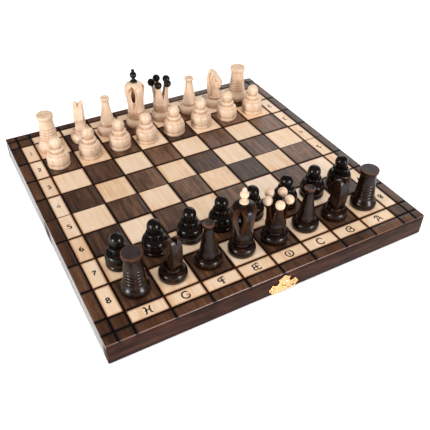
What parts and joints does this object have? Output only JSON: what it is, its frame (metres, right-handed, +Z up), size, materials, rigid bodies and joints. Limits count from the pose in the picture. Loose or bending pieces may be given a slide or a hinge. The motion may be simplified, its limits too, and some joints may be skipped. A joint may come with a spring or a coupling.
{
  "type": "folding chess set with board",
  "caption": "Folding wooden chess board with turned chessmen set up for play; the two trays fold face to face into a case closed by a brass hasp.",
  "frame": {"origin": "under the middle of the fold, level with the bottom of the hinge knuckles", "axes": "+X along the fold from the H file to the A file, +Y from the dark pieces' edge to the white pieces' edge, +Z up"},
  "size_m": [0.3, 0.3054, 0.0865],
  "materials": {
    "playing_panel": "pale and brown stained squares parted by burned lines, satin lacquer",
    "stained_wood": "dark brown stained frame wood, worn along the edges, satin lacquer",
    "felt": "thin felt",
    "brass": "stamped bright brass",
    "steel_pin": "drawn wire",
    "natural_chessman": "natural turned hardwood, semi-gloss lacquer",
    "dark_stained_chessman": "near-black stained turned hardwood, gloss lacquer"
  },
  "bodies": {
    "back_half": {"back_playing_panel": "playing_panel", "back_outer_wall": "stained_wood", "back_fold_wall": "stained_wood", "back_left_wall": "stained_wood", "back_right_wall": "stained_wood", "back_felt_lining": "felt", "left_hinge_back_leaf": "brass", "right_hinge_back_leaf": "brass", "left_hinge_pin": "steel_pin", "right_hinge_pin": "steel_pin", "hasp_plate": "brass", "hasp_left_nail": "brass", "hasp_right_nail": "brass", "hasp_pin": "steel_pin"},
    "front_half": {"front_playing_panel": "playing_panel", "front_outer_wall": "stained_wood", "front_fold_wall": "stained_wood", "front_left_wall": "stained_wood", "front_right_wall": "stained_wood", "front_felt_lining": "felt", "left_hinge_front_leaf": "brass", "right_hinge_front_leaf": "brass", "catch_plate": "brass", "catch_left_nail": "brass", "catch_right_nail": "brass"},
    "hasp": {"hasp": "brass"},
    "dark_rook_h8": {"dark_rook_h8": "dark_stained_chessman"},
    "dark_knight_g8": {"dark_knight_g8": "dark_stained_chessman"},
    "dark_bishop_f8": {"dark_bishop_f8": "dark_stained_chessman"},
    "dark_king_e8": {"dark_king_e8": "dark_stained_chessman", "dark_king_finial": "natural_chessman"},
    "dark_queen_d8": {"dark_queen_d8": "dark_stained_chessman"},
    "dark_bishop_c8": {"dark_bishop_c8": "dark_stained_chessman"},
    "dark_knight_b8": {"dark_knight_b8": "dark_stained_chessman"},
    "dark_rook_a8": {"dark_rook_a8": "dark_stained_chessman"},
    "dark_pawn_h7": {"dark_pawn_h7": "dark_stained_chessman"},
    "dark_pawn_g7": {"dark_pawn_g7": "dark_stained_chessman"},
    "dark_pawn_f7": {"dark_pawn_f7": "dark_stained_chessman"},
    "dark_pawn_e7": {"dark_pawn_e7": "dark_stained_chessman"},
    "dark_pawn_d7": {"dark_pawn_d7": "dark_stained_chessman"},
    "dark_pawn_c7": {"dark_pawn_c7": "dark_stained_chessman"},
    "dark_pawn_b7": {"dark_pawn_b7": "dark_stained_chessman"},
    "dark_pawn_a7": {"dark_pawn_a7": "dark_stained_chessman"},
    "white_rook_h1": {"white_rook_h1": "natural_chessman"},
    "white_knight_g1": {"white_knight_g1": "natural_chessman"},
    "white_bishop_f1": {"white_bishop_f1": "natural_chessman"},
    "white_king_e1": {"white_king_e1": "natural_chessman", "white_king_finial": "dark_stained_chessman"},
    "white_queen_d1": {"white_queen_d1": "natural_chessman"},
    "white_bishop_c1": {"white_bishop_c1": "natural_chessman"},
    "white_knight_b1": {"white_knight_b1": "natural_chessman"},
    "white_rook_a1": {"white_rook_a1": "natural_chessman"},
    "white_pawn_h2": {"white_pawn_h2": "natural_chessman"},
    "white_pawn_g2": {"white_pawn_g2": "natural_chessman"},
    "white_pawn_f2": {"white_pawn_f2": "natural_chessman"},
    "white_pawn_e2": {"white_pawn_e2": "natural_chessman"},
    "white_pawn_d2": {"white_pawn_d2": "natural_chessman"},
    "white_pawn_c2": {"white_pawn_c2": "natural_chessman"},
    "white_pawn_b2": {"white_pawn_b2": "natural_chessman"},
    "white_pawn_a2": {"white_pawn_a2": "natural_chessman"}
  },
  "joints": [
    {"name": "fold", "type": "hinge", "parent": "back_half", "child": "front_half", "pos_m": [0, 0, 0.0012], "axis": [1, 0, 0], "range_deg": [0, 180]},
    {"name": "hasp_swing", "type": "hinge", "parent": "back_half", "child": "hasp", "pos_m": [0, 0.1517, 0.00375], "axis": [-1, 0, 0], "range_deg": [0, 180]},
    {"name": "dark_king_e8_lift", "type": "slide", "parent": "front_half", "child": "dark_king_e8", "axis": [0, 0, 1], "range_m": [0, 0.08]},
    {"name": "white_king_e1_lift", "type": "slide", "parent": "back_half", "child": "white_king_e1", "axis": [0, 0, 1], "range_m": [0, 0.08]},
    {"name": "dark_queen_d8_lift", "type": "slide", "parent": "front_half", "child": "dark_queen_d8", "axis": [0, 0, 1], "range_m": [0, 0.08]},
    {"name": "white_queen_d1_lift", "type": "slide", "parent": "back_half", "child": "white_queen_d1", "axis": [0, 0, 1], "range_m": [0, 0.08]},
    {"name": "dark_knight_g8_lift", "type": "slide", "parent": "front_half", "child": "dark_knight_g8", "axis": [0, 0, 1], "range_m": [0, 0.08]},
    {"name": "dark_knight_b8_lift", "type": "slide", "parent": "front_half", "child": "dark_knight_b8", "axis": [0, 0, 1], "range_m": [0, 0.08]},
    {"name": "white_knight_g1_lift", "type": "slide", "parent": "back_half", "child": "white_knight_g1", "axis": [0, 0, 1], "range_m": [0, 0.08]},
    {"name": "white_knight_b1_lift", "type": "slide", "parent": "back_half", "child": "white_knight_b1", "axis": [0, 0, 1], "range_m": [0, 0.08]},
    {"name": "dark_bishop_f8_lift", "type": "slide", "parent": "front_half", "child": "dark_bishop_f8", "axis": [0, 0, 1], "range_m": [0, 0.08]},
    {"name": "dark_bishop_c8_lift", "type": "slide", "parent": "front_half", "child": "dark_bishop_c8", "axis": [0, 0, 1], "range_m": [0, 0.08]},
    {"name": "white_bishop_f1_lift", "type": "slide", "parent": "back_half", "child": "white_bishop_f1", "axis": [0, 0, 1], "range_m": [0, 0.08]},
    {"name": "white_bishop_c1_lift", "type": "slide", "parent": "back_half", "child": "white_bishop_c1", "axis": [0, 0, 1], "range_m": [0, 0.08]},
    {"name": "dark_rook_h8_lift", "type": "slide", "parent": "front_half", "child": "dark_rook_h8", "axis": [0, 0, 1], "range_m": [0, 0.08]},
    {"name": "dark_rook_a8_lift", "type": "slide", "parent": "front_half", "child": "dark_rook_a8", "axis": [0, 0, 1], "range_m": [0, 0.08]},
    {"name": "white_rook_h1_lift", "type": "slide", "parent": "back_half", "child": "white_rook_h1", "axis": [0, 0, 1], "range_m": [0, 0.08]},
    {"name": "white_rook_a1_lift", "type": "slide", "parent": "back_half", "child": "white_rook_a1", "axis": [0, 0, 1], "range_m": [0, 0.08]},
    {"name": "dark_pawn_h7_lift", "type": "slide", "parent": "front_half", "child": "dark_pawn_h7", "axis": [0, 0, 1], "range_m": [0, 0.08]},
    {"name": "dark_pawn_g7_lift", "type": "slide", "parent": "front_half", "child": "dark_pawn_g7", "axis": [0, 0, 1], "range_m": [0, 0.08]},
    {"name": "dark_pawn_f7_lift", "type": "slide", "parent": "front_half", "child": "dark_pawn_f7", "axis": [0, 0, 1], "range_m": [0, 0.08]},
    {"name": "dark_pawn_e7_lift", "type": "slide", "parent": "front_half", "child": "dark_pawn_e7", "axis": [0, 0, 1], "range_m": [0, 0.08]},
    {"name": "dark_pawn_d7_lift", "type": "slide", "parent": "front_half", "child": "dark_pawn_d7", "axis": [0, 0, 1], "range_m": [0, 0.08]},
    {"name": "dark_pawn_c7_lift", "type": "slide", "parent": "front_half", "child": "dark_pawn_c7", "axis": [0, 0, 1], "range_m": [0, 0.08]},
    {"name": "dark_pawn_b7_lift", "type": "slide", "parent": "front_half", "child": "dark_pawn_b7", "axis": [0, 0, 1], "range_m": [0, 0.08]},
    {"name": "dark_pawn_a7_lift", "type": "slide", "parent": "front_half", "child": "dark_pawn_a7", "axis": [0, 0, 1], "range_m": [0, 0.08]},
    {"name": "white_pawn_h2_lift", "type": "slide", "parent": "back_half", "child": "white_pawn_h2", "axis": [0, 0, 1], "range_m": [0, 0.08]},
    {"name": "white_pawn_g2_lift", "type": "slide", "parent": "back_half", "child": "white_pawn_g2", "axis": [0, 0, 1], "range_m": [0, 0.08]},
    {"name": "white_pawn_f2_lift", "type": "slide", "parent": "back_half", "child": "white_pawn_f2", "axis": [0, 0, 1], "range_m": [0, 0.08]},
    {"name": "white_pawn_e2_lift", "type": "slide", "parent": "back_half", "child": "white_pawn_e2", "axis": [0, 0, 1], "range_m": [0, 0.08]},
    {"name": "white_pawn_d2_lift", "type": "slide", "parent": "back_half", "child": "white_pawn_d2", "axis": [0, 0, 1], "range_m": [0, 0.08]},
    {"name": "white_pawn_c2_lift", "type": "slide", "parent": "back_half", "child": "white_pawn_c2", "axis": [0, 0, 1], "range_m": [0, 0.08]},
    {"name": "white_pawn_b2_lift", "type": "slide", "parent": "back_half", "child": "white_pawn_b2", "axis": [0, 0, 1], "range_m": [0, 0.08]},
    {"name": "white_pawn_a2_lift", "type": "slide", "parent": "back_half", "child": "white_pawn_a2", "axis": [0, 0, 1], "range_m": [0, 0.08]}
  ]
}
